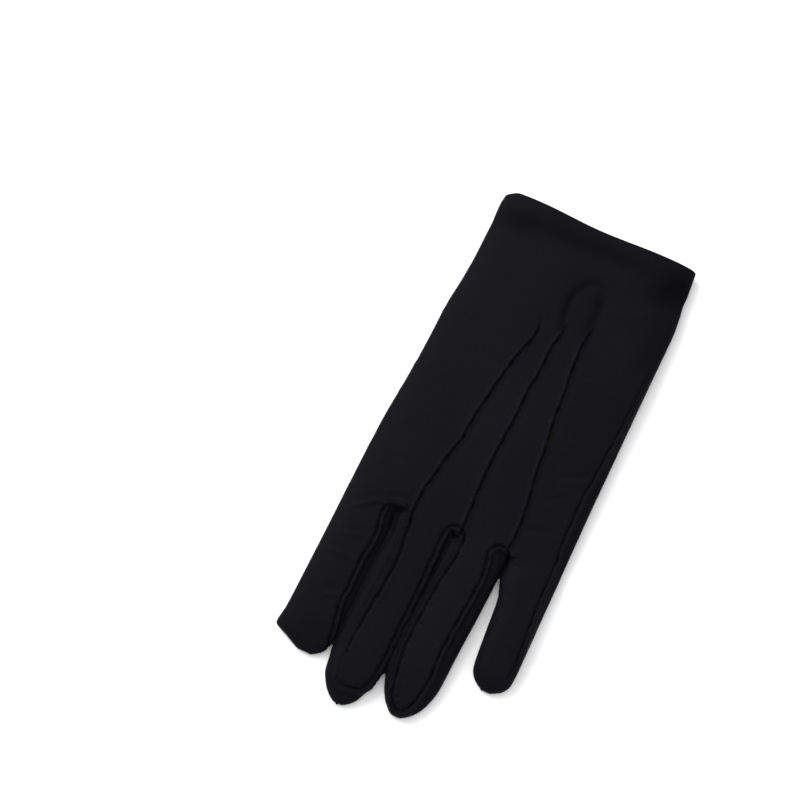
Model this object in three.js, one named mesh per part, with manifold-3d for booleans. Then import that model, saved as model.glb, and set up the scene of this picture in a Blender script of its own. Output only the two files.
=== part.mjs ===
// A left-hand dress glove of thin stretch cloth, lying palm down with its thumb folded under the palm.
// Back and palm are one cloth, the trank, folded along the index side and sewn along the little-finger
// side. Three long gussets, the fourchettes, close the sides of the fingers, and the thumb is sewn into a
// hole in the palm.
// X runs from the index side to the little-finger side, Y from the fingertips to the cuff, Z up.
// The origin is at the middle of the glove's footprint, on the surface that it lies on. Millimetres.

import * as THREE from 'three';
import { mergeVertices } from 'three/addons/utils/BufferGeometryUtils.js';
import Module from 'manifold-3d';

const wasm = await Module();
wasm.setup();

// Cloth and seams
const CLOTH = 1.0; // thickness of one layer
const SEAM_GAP = 0.3; // between the edges of two sewn pieces
const HEM_DEPTH = 16; // the cuff's edge turned in
const HEM_LAYER = 0.6; // thickness that the turned-in layer adds, pressed flat
const SIDE_SEAM_INSET = 5.6; // the seam along the little-finger side, in from the edge, at its widest
const UPPER_LAYER = 0.3; // the upper layer's seams are cut from here up, as a share of a finger's thickness

// Outline of soft cloth that lies on a table: flat below, rounded at its edges and softly crowned above
const CROWN = 2 / 2.7; // power of the rounded edge
const FLAT_BELOW = 1.3; // the larger, the wider the flat underside
const EDGE_HEIGHT = 0.36; // of the outline's widest place, as a share of the thickness
const EDGE_RISE = 0.3; // how much higher it is inside, as a share of the cloth's thickness

// Hand
const PALM_LENGTH = 153; // from the finger forks to the edge of the cuff
const HAND_THICKNESS = 12; // of the hollow hand as it lies
const CUFF_WIDTH = 93.4;
const CUFF_SHIFT = 2.5; // how far the cuff's middle lies towards the little finger

// Fingers
const FINGER_WIDTH = { index: 25.1, middle: 25.2, ring: 25.5, little: 23.8 }; // at the forks
const FINGER_LENGTH = { index: 74.5, middle: 88.6, ring: 83.4, little: 57.2 }; // from the forks
const FINGER_THICKNESS = 9.4;
const FINGER_GAP = 0.6; // between two neighbouring fingers
const FINGER_ROOT = { length: 16, sides: 4, height: 0.5 }; // how a finger's tube sinks into the hand
const CROTCH_RISE = 2.5; // how far a fourchette's round end reaches past the forks
const FOURCHETTE_TAPER = 0.16; // share of a finger over which a fourchette runs out to its point

// Thumb
const THUMB_WIDTH = 23.5;
const THUMB_LENGTH = 82; // from the back of its mouth to the tip
const THUMB_THICKNESS = 3.8;
const THUMB_FROM_FOLD = 24.5; // its middle line, from the fold along the index side
const THUMB_FROM_FORKS = 95; // the back of its mouth, from the finger forks
const THUMB_HOLE = { width: 16, length: 25, back: 4 }; // in the palm, and how far in from the thumb's back
const THUMB_CLEARANCE = 0.3; // between the folded thumb and the palm over it
const TENT_SKIRT = 1.5; // how far the palm slopes out to the table beside the thumb
const TENT_ENDS = { back: 0.5, tip: 0.25 }; // width of the two sloping ends, in shares of THUMB_WIDTH

// Tucks along the back of the hand, and soft folds across it. A root is how deep a ridge sits in the cloth.
const TUCK = { height: 1.1, width: 1.3, root: 0.55 };
const FOLD = { height: 0.9, width: 4.5, root: 0.6 };

// Facets
const FINGER_SIDES = 20;
const HAND_SIDES = 40;
const THUMB_SIDES = 16;
const TENT_SIDES = 6;
const RIDGE_SIDES = 6;
const MOUTH_SIDES = 32;
const SAME_POINT = 1e-4; // corners closer than this are one

// Rows of the tables below are written under their column names.
function table(columns, ...rows) {
  const names = columns.split(' ');
  return rows.map((row) => Object.fromEntries(names.map((name, i) => [name, row[i]])));
}

// Each finger: across runs from its index side (0) to the other side (1) at the fork, in shares of its width.
// at runs from the fork (0) to the tip (1), and height is a share of FINGER_THICKNESS.
// The seams are the lines where the back's finger panel meets the fourchettes and the palm.
const FINGERS = [
  {
    name: 'index',
    outline: table('at left right height',
      [0, 0, 1, 0.99], [0.18, -0.004, 1, 1], [0.4, -0.016, 0.985, 1], [0.62, -0.03, 0.975, 0.96],
      [0.8, -0.046, 0.975, 0.86], [0.915, -0.09, 0.93, 0.68], [0.96, 0.17, 0.86, 0.52],
      [1, 0.42, 0.7, 0.34]),
    right: table('at across', [0.04, 0.775], [0.4, 0.795], [0.77, 0.82], [0.86, 0.86], [0.9, 0.89]),
    tip: table('at across', [0.9, 0.89], [0.945, 0.83], [0.963, 0.7], [0.955, 0.42], [0.915, 0.16],
      [0.885, 0.0], [0.885, -0.2]),
  },
  {
    name: 'middle',
    outline: table('at left right height',
      [0, 0, 1, 1], [0.15, -0.015, 0.97, 1], [0.38, -0.024, 0.935, 0.98], [0.6, -0.024, 0.913, 0.95],
      [0.76, -0.024, 0.92, 0.88], [0.87, 0.004, 0.853, 0.76], [0.94, 0.123, 0.746, 0.6],
      [0.98, 0.25, 0.63, 0.44], [1, 0.36, 0.52, 0.34]),
    left: table('at across', [0.04, 0.3], [0.27, 0.345], [0.4, 0.335], [0.6, 0.24], [0.74, 0.225],
      [0.82, 0.235]),
    right: table('at across', [0.04, 0.875], [0.3, 0.865], [0.6, 0.86], [0.72, 0.86], [0.8, 0.82]),
    tip: table('at across', [0.8, 0.82], [0.885, 0.655], [0.915, 0.54], [0.91, 0.34], [0.87, 0.255],
      [0.82, 0.235]),
  },
  {
    name: 'ring',
    outline: table('at left right height',
      [0, 0, 1, 1], [0.15, -0.02, 0.99, 1], [0.36, -0.05, 0.96, 0.98], [0.6, -0.075, 0.915, 0.95],
      [0.78, -0.07, 0.89, 0.88], [0.88, 0.01, 0.81, 0.76], [0.94, 0.11, 0.71, 0.62],
      [0.98, 0.22, 0.58, 0.44], [1, 0.31, 0.48, 0.34]),
    left: table('at across', [0.04, 0.2], [0.3, 0.105], [0.5, 0.055], [0.65, 0.06], [0.76, 0.1],
      [0.85, 0.17]),
    right: table('at across', [0.04, 0.735], [0.3, 0.725], [0.5, 0.665], [0.65, 0.655], [0.78, 0.67],
      [0.84, 0.635]),
    tip: table('at across', [0.84, 0.635], [0.905, 0.54], [0.925, 0.42], [0.915, 0.27], [0.85, 0.17]),
  },
  {
    name: 'little',
    outline: table('at left right height',
      [0, 0, 1, 0.9], [0.16, 0.0, 1, 0.95], [0.33, 0.11, 1.002, 0.94], [0.6, 0.164, 1.008, 0.9],
      [0.8, 0.205, 1.004, 0.82], [0.88, 0.235, 0.992, 0.74], [0.95, 0.34, 0.9, 0.58], [1, 0.53, 0.7, 0.34]),
    left: table('at across', [0.04, 0.12], [0.2, 0.17], [0.33, 0.22], [0.6, 0.27], [0.8, 0.31],
      [0.87, 0.335]),
    right: table('at across', [0, 0.825], [0.2, 0.85], [0.36, 0.874], [0.52, 0.89], [0.66, 0.9],
      [0.78, 0.905]),
    tip: table('at across', [0.78, 0.905], [0.87, 0.86], [0.915, 0.76], [0.93, 0.6], [0.91, 0.44],
      [0.87, 0.335]),
  },
];

// Hand: at runs from the forks (0) to the cuff's edge (1). left and right run from the edge of the finger
// roots (0) to the edge of the cuff (1), and height is a share of HAND_THICKNESS.
// The dent before the cuff is where the hem is stitched.
const HAND = table('at left right height',
  [0, 0, 0, 0.77], [0.05, 0.02, 0.1, 0.84], [0.12, 0.06, 0.12, 0.9], [0.22, 0.14, 0.15, 0.95],
  [0.35, 0.38, 0.02, 1], [0.48, 0.55, -0.1, 1.02], [0.6, 0.62, -0.2, 1.02], [0.7, 0.85, -0.3, 1],
  [0.79, 0.97, -0.42, 0.98], [0.875, 0.97, 0.2, 0.97], [0.893, 1.06, 0.75, 0.92], [0.91, 0.96, 0.6, 0.975],
  [0.97, 0.93, 0.95, 0.98], [1, 1.02, 1.15, 0.97]);

// Tucks and folds: at runs from the forks (0) to the cuff (1), below 0 over the fingers. across runs over the
// fingers' roots, from 0 to 1. height is a share of the height of a tuck or fold.
const TUCKS = [
  table('at across height', [-0.012, 0.311, 0.5], [0.03, 0.306, 1], [0.16, 0.332, 1], [0.28, 0.365, 1],
    [0.41, 0.396, 1], [0.54, 0.425, 1], [0.61, 0.455, 0.9], [0.655, 0.47, 0.3]),
  table('at across height', [0.005, 0.528, 0.5], [0.07, 0.514, 1], [0.19, 0.51, 1], [0.35, 0.516, 1],
    [0.49, 0.537, 1], [0.61, 0.533, 1], [0.675, 0.55, 0.8], [0.72, 0.55, 0.3]),
  table('at across height', [0.03, 0.738, 0.5], [0.15, 0.73, 1], [0.27, 0.698, 1], [0.37, 0.678, 1],
    [0.48, 0.663, 1], [0.66, 0.64, 1], [0.71, 0.66, 0.8], [0.76, 0.662, 0.3]),
];
const FOLDS = [
  table('at across height', [-0.052, 0.06, 0.2], [-0.03, 0.12, 1], [-0.004, 0.18, 1], [0.012, 0.22, 0.9],
    [0.014, 0.27, 0.2]),
  table('at across height', [-0.208, 0.03, 0.2], [-0.207, 0.08, 0.7], [-0.206, 0.13, 0.7],
    [-0.203, 0.18, 0.2]),
  table('at across height', [-0.31, 0.11, 0.2], [-0.308, 0.14, 0.5], [-0.304, 0.17, 0.2]),
];

// Thumb: at runs from the back of its mouth (0) to the tip (1), width and height in shares of its own.
const THUMB = table('at width height',
  [0, 0.5, 0.7], [0.03, 0.74, 0.9], [0.08, 0.93, 1], [0.16, 1, 1], [0.36, 1, 1], [0.6, 0.93, 1],
  [0.78, 0.85, 1], [0.9, 0.7, 0.95], [0.96, 0.5, 0.85], [1, 0.26, 0.68]);

// Side seam: at runs from the forks (0) to the cuff (1), and inset is a share of SIDE_SEAM_INSET.
const SIDE_SEAM = table('at inset',
  [1.02, 0.46], [0.9, 0.54], [0.7, 0.57], [0.48, 0.64], [0.3, 0.9], [0.16, 1], [0.06, 0.82]);

// Places worked out from the sizes above
const longestFinger = Math.max(...Object.values(FINGER_LENGTH));
const forkY = (longestFinger - PALM_LENGTH) / 2;
const cuffY = forkY + PALM_LENGTH;
const rootWidth = Object.values(FINGER_WIDTH).reduce((sum, width) => sum + width + FINGER_GAP, -FINGER_GAP);
const rootLeft = -rootWidth / 2;
const rootRight = rootWidth / 2;
const cuffLeft = CUFF_SHIFT - CUFF_WIDTH / 2;
const cuffRight = CUFF_SHIFT + CUFF_WIDTH / 2;
const aboveAll = 2 * Math.max(HAND_THICKNESS, FINGER_THICKNESS);
const palmFloor = THUMB_THICKNESS + THUMB_CLEARANCE + CLOTH; // upper side of the palm over the thumb
let nextRoot = rootLeft;
for (const finger of FINGERS) {
  finger.width = FINGER_WIDTH[finger.name];
  finger.length = FINGER_LENGTH[finger.name];
  finger.x = nextRoot;
  nextRoot += finger.width + FINGER_GAP;
}
const { lerp } = THREE.MathUtils;

// A value of a table between two of its rows.
function between(rows, column, at) {
  const next = rows.findIndex((row) => row.at >= at);
  const k = next < 0 ? rows.length - 1 : Math.max(1, next);
  const [a, b] = [rows[k - 1], rows[k]];
  return lerp(a[column], b[column], THREE.MathUtils.clamp((at - a.at) / (b.at - a.at), 0, 1));
}

// Solids and booleans
function solid(geometry) {
  geometry.deleteAttribute('normal');
  geometry.deleteAttribute('uv');
  const merged = mergeVertices(geometry, SAME_POINT);
  const mesh = new wasm.Mesh({
    numProp: 3,
    vertProperties: new Float32Array(merged.attributes.position.array),
    triVerts: new Uint32Array(merged.index.array),
  });
  return new wasm.Manifold(mesh);
}

function geometryOf(manifold) {
  const { vertProperties, triVerts } = manifold.getMesh();
  const geometry = new THREE.BufferGeometry();
  geometry.setAttribute('position', new THREE.BufferAttribute(new Float32Array(vertProperties), 3));
  geometry.setIndex(new THREE.BufferAttribute(new Uint32Array(triVerts), 1));
  geometry.computeVertexNormals();
  return geometry;
}

function union(solids) {
  return solids.reduce((whole, next) => whole.add(next));
}

// A closed tube through sections, from the highest Y to the lowest. A section has its y, and its ring and
// middle in XZ.
function loft(sections, sides) {
  const geometry = new THREE.CylinderGeometry(1, 1, 1, sides, sections.length - 1);
  const position = geometry.attributes.position;
  for (let i = 0; i < position.count; i += 1) {
    const section = sections[Math.round((0.5 - position.getY(i)) * (sections.length - 1))];
    const [across, up] = [position.getX(i), position.getZ(i)];
    const onAxis = Math.hypot(across, up) < 0.5;
    const [x, z] = onAxis ? section.middle : section.ring(Math.atan2(across, up));
    position.setXYZ(i, x, section.y, z);
  }
  return solid(geometry);
}

// The outline of soft cloth between two edges, at y.
function pillow(y, left, right, bottom, top, edge) {
  const [middle, half] = [(left + right) / 2, (right - left) / 2];
  const ring = (angle) => {
    const [side, up] = [Math.sin(angle), Math.cos(angle)];
    const x = middle + half * Math.sign(side) * Math.abs(side) ** CROWN;
    const rise = Math.abs(up) ** CROWN;
    if (up >= 0) return [x, edge + (top - edge) * rise];
    return [x, Math.max(bottom, edge - FLAT_BELOW * (edge - bottom) * rise)];
  };
  return { y, ring, middle: [middle, (bottom + top) / 2] };
}

// The height of that outline's upper side at x.
function crownAt(x, { left, right, thickness }) {
  const edge = EDGE_HEIGHT * thickness;
  const side = Math.min(1, Math.abs((2 * x - left - right) / (right - left))) ** (1 / CROWN);
  return edge + (thickness - edge) * (1 - side * side) ** (CROWN / 2);
}

// Fingers
function fingerAt(finger, at) {
  const { x, width, outline } = finger;
  const [left, right] = ['left', 'right'].map((side) => x + between(outline, side, at) * width);
  return { left, right, thickness: between(outline, 'height', at) * FINGER_THICKNESS };
}

function fingerTube(finger, inset) {
  const section = (y, { left, right, thickness }) => {
    const top = thickness - inset;
    const edge = Math.min(EDGE_HEIGHT * thickness + inset * EDGE_RISE, (inset + top) / 2);
    return pillow(y, left + inset, right - inset, inset, top, edge);
  };
  const { sides, height, length } = FINGER_ROOT;
  const { left, right, thickness } = fingerAt(finger, 0);
  const sunk = { left: left + sides, right: right - sides, thickness: thickness * height };
  const reach = finger.length - inset;
  const along = finger.outline.map(({ at }) => section(forkY - at * reach, fingerAt(finger, at)));
  return loft([section(forkY + length, sunk), ...along], FINGER_SIDES);
}

// A point on a finger, in the plan, from its shares along and across.
function onFinger(finger, { at, across }) {
  return new THREE.Vector2(finger.x + across * finger.width, forkY - at * finger.length);
}

// Hand
function handAt(at) {
  const left = lerp(rootLeft, cuffLeft, between(HAND, 'left', at));
  const right = lerp(rootRight, cuffRight, between(HAND, 'right', at));
  return { left, right, thickness: HAND_THICKNESS * between(HAND, 'height', at) };
}

function handSection(at, y, inset, extra = 0) {
  const { left, right, thickness } = handAt(at);
  const room = inset + extra;
  const edge = EDGE_HEIGHT * thickness + room * EDGE_RISE;
  return pillow(y, left + room, right - room, room, thickness - room, edge);
}

function handBody() {
  const sections = HAND.map(({ at }) => handSection(at, forkY + at * PALM_LENGTH, 0));
  return loft(sections.reverse(), HAND_SIDES);
}

// The room inside the hand, narrower inside the hem and open past the cuff's edge.
function handRoom() {
  const hemAt = 1 - HEM_DEPTH / PALM_LENGTH;
  const inHand = [...HAND].reverse().filter(({ at }) => at < hemAt);
  const sections = [
    handSection(1, cuffY + CLOTH, CLOTH, HEM_LAYER),
    handSection(hemAt, cuffY - HEM_DEPTH, CLOTH, HEM_LAYER),
    handSection(hemAt, cuffY - HEM_DEPTH - HEM_LAYER, CLOTH),
    ...inHand.map(({ at }) => handSection(at, forkY + Math.max(at * PALM_LENGTH, CLOTH), CLOTH)),
  ];
  return loft(sections, HAND_SIDES);
}

// Thumb, in its own plan: its middle line runs along -Y from the back of its mouth.
const thumbX = handAt(THUMB_FROM_FORKS / PALM_LENGTH).left + THUMB_FROM_FOLD;
const thumbY = forkY + THUMB_FROM_FORKS;

function thumbTube(inset) {
  const sections = THUMB.map(({ at, width, height }) => {
    const half = (width * THUMB_WIDTH) / 2 - inset;
    const top = height * THUMB_THICKNESS - inset;
    const y = thumbY - inset - at * (THUMB_LENGTH - 2 * inset);
    return pillow(y, thumbX - half, thumbX + half, inset, top, (inset + top) / 2);
  });
  return loft(sections, THUMB_SIDES);
}

// The room that the palm's cloth leaves over the thumb, sloping out to the table at its sides and ends.
function tent(grow) {
  const [skirt, top] = [TENT_SKIRT + grow, THUMB_THICKNESS + THUMB_CLEARANCE + grow];
  const section = (y, half, height) => {
    const [foot, shoulder] = [half + skirt, half - THUMB_CLEARANCE];
    const slope = [[foot, -CLOTH], [foot, 0], [shoulder, height]];
    const corners = [...slope, ...slope.toReversed().map(([x, z]) => [-x, z])];
    const ring = (angle) => {
      const turn = THREE.MathUtils.euclideanModulo(angle / (2 * Math.PI) + 0.5, 1) * corners.length;
      const [x, z] = corners[Math.round(turn) % corners.length];
      return [thumbX - x, z];
    };
    return { y, ring, middle: [thumbX, 0] };
  };
  const full = THUMB.map(({ at, width }) => {
    const half = (width * THUMB_WIDTH) / 2 + THUMB_CLEARANCE;
    return section(thumbY + THUMB_CLEARANCE - at * (THUMB_LENGTH + 2 * THUMB_CLEARANCE), half, top);
  });
  const back = section(thumbY + skirt, (TENT_ENDS.back * THUMB_WIDTH) / 2, grow);
  const tip = section(thumbY - THUMB_LENGTH - skirt, (TENT_ENDS.tip * THUMB_WIDTH) / 2, grow);
  return loft([back, ...full, tip], TENT_SIDES);
}

// An upright prism over an outline in the plan.
function prism(points, low, high) {
  const upright = { depth: high - low, bevelEnabled: false };
  return solid(new THREE.ExtrudeGeometry(new THREE.Shape(points), upright).translate(0, 0, low));
}

// An upright post with an oval outline, at the hole in the palm.
function mouth(inset, low, high) {
  const { width, length, back } = THUMB_HOLE;
  const middleY = thumbY - back - length / 2;
  const [halfWidth, halfLength] = [width / 2 - inset, length / 2 - inset];
  const oval = new THREE.EllipseCurve(thumbX, middleY, halfWidth, halfLength, 0, 2 * Math.PI);
  return prism(oval.getPoints(MOUTH_SIDES).slice(0, -1), low, high);
}

// A cut of SEAM_GAP along a line in the plan, standing from low up.
function seamCut(points, low) {
  const sides = [[], []];
  points.forEach((point, i) => {
    const coming = point.clone().sub(points[i - 1] ?? point).normalize();
    const going = (points[i + 1] ?? point).clone().sub(point).normalize();
    const along = coming.add(going).normalize().multiplyScalar(SEAM_GAP / 2);
    sides[0].push(new THREE.Vector2(point.x - along.y, point.y + along.x));
    sides[1].unshift(new THREE.Vector2(point.x + along.y, point.y - along.x));
  });
  return prism([...sides[0], ...sides[1]], low, aboveAll);
}

// A fourchette's seam in the plan: up one finger, round the fork and down its neighbour. It starts and ends
// in the gap between the fingers, where the fourchette runs out to its two points.
function fourchetteSeam(one, other) {
  const up = one.right.map((row) => onFinger(one, row)).reverse();
  const down = other.left.map((row) => onFinger(other, row));
  const [from, to] = [up[up.length - 1], down[0]];
  const rise = forkY + CROTCH_RISE - (from.y + to.y) / 2;
  const round = [0.25, 0.5, 0.75].map((t) => {
    const x = lerp(from.x, to.x, (1 - Math.cos(t * Math.PI)) / 2);
    return new THREE.Vector2(x, lerp(from.y, to.y, t) + rise * Math.sin(t * Math.PI));
  });
  const gapX = other.x - FINGER_GAP / 2;
  const startY = up[0].y + FOURCHETTE_TAPER * one.length;
  const endY = down[down.length - 1].y + FOURCHETTE_TAPER * other.length;
  const start = new THREE.Vector2(gapX - FINGER_GAP, startY);
  const end = new THREE.Vector2(gapX + FINGER_GAP, endY);
  return [start, ...up, ...round, ...down, end];
}

// Ridges on the back: tucks are narrow and sewn, folds are wide and soft. A ridge follows the back's surface.
function backAt(x, at) {
  if (at >= 0) return crownAt(x, handAt(at));
  const finger = FINGERS.findLast((each) => x >= each.x) ?? FINGERS[0];
  return crownAt(x, fingerAt(finger, (-at * PALM_LENGTH) / finger.length));
}

function ridge(rows, { height, width, root }) {
  const middles = rows.map((row) => {
    const x = rootLeft + row.across * rootWidth;
    return new THREE.Vector3(x, forkY + row.at * PALM_LENGTH, backAt(x, row.at));
  });
  const geometry = new THREE.CylinderGeometry(1, 1, 1, RIDGE_SIDES, rows.length - 1);
  const position = geometry.attributes.position;
  for (let i = 0; i < position.count; i += 1) {
    const k = Math.round((0.5 - position.getY(i)) * (rows.length - 1));
    const along = middles[Math.min(k + 1, rows.length - 1)].clone().sub(middles[Math.max(k - 1, 0)]);
    const aside = new THREE.Vector3(-along.y, along.x, 0).setLength((width / 2) * position.getX(i));
    const rise = position.getZ(i) * (position.getZ(i) > 0 ? height * rows[k].height : root);
    const point = middles[k].clone().add(aside);
    position.setXYZ(i, point.x, point.y, point.z + rise);
  }
  return solid(geometry);
}

// The shell of the glove, with its hollow and the hole for the thumb
const fingersOutside = FINGERS.map((finger) => fingerTube(finger, 0));
const fingersInside = FINGERS.map((finger) => fingerTube(finger, CLOTH));
const outside = union([handBody(), ...fingersOutside]).subtract(tent(0));
const inside = union([handRoom(), ...fingersInside]).subtract(tent(CLOTH));
const shell = outside.subtract(inside).subtract(mouth(0, -CLOTH, palmFloor + CLOTH));
const ridges = [...TUCKS.map((rows) => ridge(rows, TUCK)), ...FOLDS.map((rows) => ridge(rows, FOLD))];
const sewn = union([shell, ...ridges]);

// Fourchettes and the seams round them
const fourchetteSeams = FINGERS.slice(1).map((other, i) => fourchetteSeam(FINGERS[i], other));
const fourchetteAreas = fourchetteSeams.map((seam) => prism(seam, -CLOTH, aboveAll));
const fourchetteCuts = fourchetteSeams.map((seam) => seamCut(seam, -CLOTH));
const fourchettes = fourchetteAreas.map((area, i) => sewn.intersect(area).subtract(fourchetteCuts[i]));

// Seams in the upper layer alone: along the little-finger side, and round the fingertips
const little = FINGERS[FINGERS.length - 1];
const alongHand = SIDE_SEAM.map(({ at, inset }) => {
  const { right } = handAt(Math.min(1, at));
  return new THREE.Vector2(right - inset * SIDE_SEAM_INSET, forkY + at * PALM_LENGTH);
});
const sideSeam = [...alongHand, ...little.right.map((row) => onFinger(little, row))];
const tipSeams = FINGERS.map((finger) => finger.tip.map((row) => onFinger(finger, row)));
const upperCuts = [sideSeam, ...tipSeams].map((seam) => seamCut(seam, UPPER_LAYER * FINGER_THICKNESS));
const cuts = union([...fourchetteAreas, ...fourchetteCuts, ...upperCuts]);
const trank = sewn.subtract(cuts);

// The thumb's tube, and the collar by which it is sewn into the palm
const collar = mouth(SEAM_GAP, THUMB_THICKNESS / 2, palmFloor);
const throat = mouth(SEAM_GAP + CLOTH, THUMB_THICKNESS / 2, palmFloor + CLOTH);
const thumb = thumbTube(0).add(collar).subtract(thumbTube(CLOTH)).subtract(throat);

// Scene
const blackCloth = { color: 0x17161a, roughness: 0.86, metalness: 0 };
const glove = new THREE.Group();
function place(name, manifold) {
  const mesh = new THREE.Mesh(geometryOf(manifold), new THREE.MeshStandardMaterial(blackCloth));
  mesh.name = name;
  glove.add(mesh);
}

place('trank', trank);
fourchettes.forEach((fourchette, i) => {
  place(`fourchette_${FINGERS[i].name}_${FINGERS[i + 1].name}`, fourchette);
});
place('thumb', thumb);

// The origin lies at the middle of the footprint.
const box = new THREE.Box3().setFromObject(glove);
const middle = box.getCenter(new THREE.Vector3());
glove.position.set(-middle.x, -middle.y, -box.min.z);

export default glove;
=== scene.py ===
"""Looks of a left-hand dress glove of thin black stretch cloth, lying palm down with its thumb folded under.

The back and palm are one cloth, the trank. Three gussets, the fourchettes, close the fingers' sides, and the
thumb is sewn into the palm. Tables are in millimetres in the row frame: X from the index side to the
little-finger side, Y from the fingertips to the cuff, Z up. Meshes are in metres.
"""

import logging
import math
from dataclasses import dataclass, field
from enum import Enum
from typing import Any, Callable, Sequence

import bmesh
import bpy
import numpy as np
from mathutils import Matrix, Vector


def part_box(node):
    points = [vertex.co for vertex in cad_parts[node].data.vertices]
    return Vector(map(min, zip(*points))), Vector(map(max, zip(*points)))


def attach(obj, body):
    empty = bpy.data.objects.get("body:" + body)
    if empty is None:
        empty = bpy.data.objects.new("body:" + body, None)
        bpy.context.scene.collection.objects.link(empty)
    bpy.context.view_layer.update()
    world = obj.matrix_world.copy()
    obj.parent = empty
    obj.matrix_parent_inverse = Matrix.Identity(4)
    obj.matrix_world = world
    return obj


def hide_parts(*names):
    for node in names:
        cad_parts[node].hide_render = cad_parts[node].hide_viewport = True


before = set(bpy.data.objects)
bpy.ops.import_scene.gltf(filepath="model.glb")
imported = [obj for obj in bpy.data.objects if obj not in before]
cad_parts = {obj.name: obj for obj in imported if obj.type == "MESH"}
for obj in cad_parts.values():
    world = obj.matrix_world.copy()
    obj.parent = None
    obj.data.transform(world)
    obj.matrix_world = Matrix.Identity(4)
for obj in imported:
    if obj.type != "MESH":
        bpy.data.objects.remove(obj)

log = logging.getLogger("glove")
Array = np.ndarray
Ring = Callable[[Array, Array], Array]

MM = 0.001
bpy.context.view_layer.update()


# Measures of the glove, in millimetres
FORK_Y = -32.2  # where the fingers part
CUFF_Y = 120.8
PALM = CUFF_Y - FORK_Y
ROOT_LEFT, ROOT_RIGHT = -49.9, 51.5  # of the four fingers at the forks
CUFF_LEFT, CUFF_RIGHT = -43.4, 50.0
HAND_HEIGHT = 12.0
FINGER_HEIGHT = 9.4
PRESSED = 0.55  # how far two fingers that touch are pressed into each other
WALL = 0.9  # thickness of the modelled cloth
HEM_DEPTH = 16.0

# Outline of soft cloth on a table: flat below, round at its edges and softly crowned above
CROWN = 2 / 2.7
FLAT_BELOW = 1.3
EDGE_HEIGHT = 0.36

# Mesh, in millimetres
VOXEL = 0.45  # of the joined skin
FINE_BAND = 2.4  # from a seam or tuck, where the skin is made twice as fine
SEAM_STEP = 1.0  # between the points that a line is drawn through

# Triangles that a piece is thinned to, and how much more its inner skin is thinned than its outer one
TRANK_TRIANGLES = 170000
FOURCHETTE_TRIANGLES = 36000
OUTER_WEIGHT = 0.05
INNER_FACTOR = 6.0

SHARP_ANGLE = math.radians(65)  # between faces, past which an edge isn't shaded smooth


class Side(Enum):
    """The side of the lying glove that a detail is on."""

    BACK = "back"
    BOTH = "both"


def eased(at: Array, knots: Sequence[float], values: Sequence[float]) -> Array:
    """Reads a table between its rows, on a smooth curve that never overshoots a row.

    Args:
        at: where to read.
        knots: the rows' places, rising.
        values: the rows' values.

    Returns:
        One value for each place.
    """
    x, y = np.asarray(knots, float), np.asarray(values, float)
    steps = np.diff(x)
    slopes = np.diff(y) / steps
    level = slopes[:-1] * slopes[1:] <= 0
    safe = np.where(level, 1.0, slopes[:-1] + slopes[1:])
    inner = np.where(level, 0.0, 2 * slopes[:-1] * slopes[1:] / safe)
    tangents = np.concatenate([slopes[:1], inner, slopes[-1:]])
    t = np.clip(at, x[0], x[-1])
    k = np.clip(np.searchsorted(x, t, side="right") - 1, 0, len(steps) - 1)
    u = (t - x[k]) / steps[k]
    level_part = y[k] * (1 + 2 * u) * (1 - u) ** 2 + y[k + 1] * u * u * (3 - 2 * u)
    return level_part + steps[k] * (tangents[k] * u * (1 - u) ** 2 - tangents[k + 1] * u * u * (1 - u))


def bell(distance: Array, width: float) -> Array:
    """A smooth bump, 1 at distance 0 and nearly 0 at twice its width."""
    return np.exp(-((distance / width) ** 2))


def step(value: Array, start: float, end: float) -> Array:
    """A smooth step from 0 at start to 1 at end."""
    t = np.clip((value - start) / (end - start), 0, 1)
    return t * t * (3 - 2 * t)


@dataclass(frozen=True)
class Outline:
    """One section of a finger or the hand, with its height as a share of the full height.

    left and right are shares of a finger's width, or for the hand of the way from the forks' sides to the cuff's.
    """

    at: float
    left: float
    right: float
    height: float


@dataclass(frozen=True)
class Spot:
    """A point of a seam, fold or tuck in the plan, with how strong it is there."""

    x: float
    y: float
    strength: float = 1.0


@dataclass(frozen=True)
class Line:
    """A seam, fold or tuck drawn through its spots in the plan."""

    spots: tuple[Spot, ...]

    def drawn(self) -> Array:
        """Points close together along the line.

        Returns:
            Rows of x, y, strength and the length so far.
        """
        rows = np.array([(s.x, s.y, s.strength) for s in self.spots], float)
        along = np.concatenate([[0], np.cumsum(np.hypot(*np.diff(rows[:, :2], axis=0).T))])
        at = np.linspace(0, along[-1], max(3, round(along[-1] / SEAM_STEP)))
        return np.stack([*(eased(at, along, rows[:, i]) for i in range(3)), at], axis=1)

    def nearest(self, point: Array) -> Array:
        """The point of the line nearest to a point of the plan."""
        rows = self.drawn()[:, :2]
        legs = np.diff(rows, axis=0)
        t = np.clip(((point - rows[:-1]) * legs).sum(1) / (legs * legs).sum(1), 0, 1)
        places = rows[:-1] + t[:, None] * legs
        return places[np.argmin(((places - point) ** 2).sum(1))]


@dataclass(frozen=True)
class Near:
    """Points found near a line: which they are, how far on its right and along it, and its strength there."""

    index: Array
    distance: Array
    along: Array
    strength: Array


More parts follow.
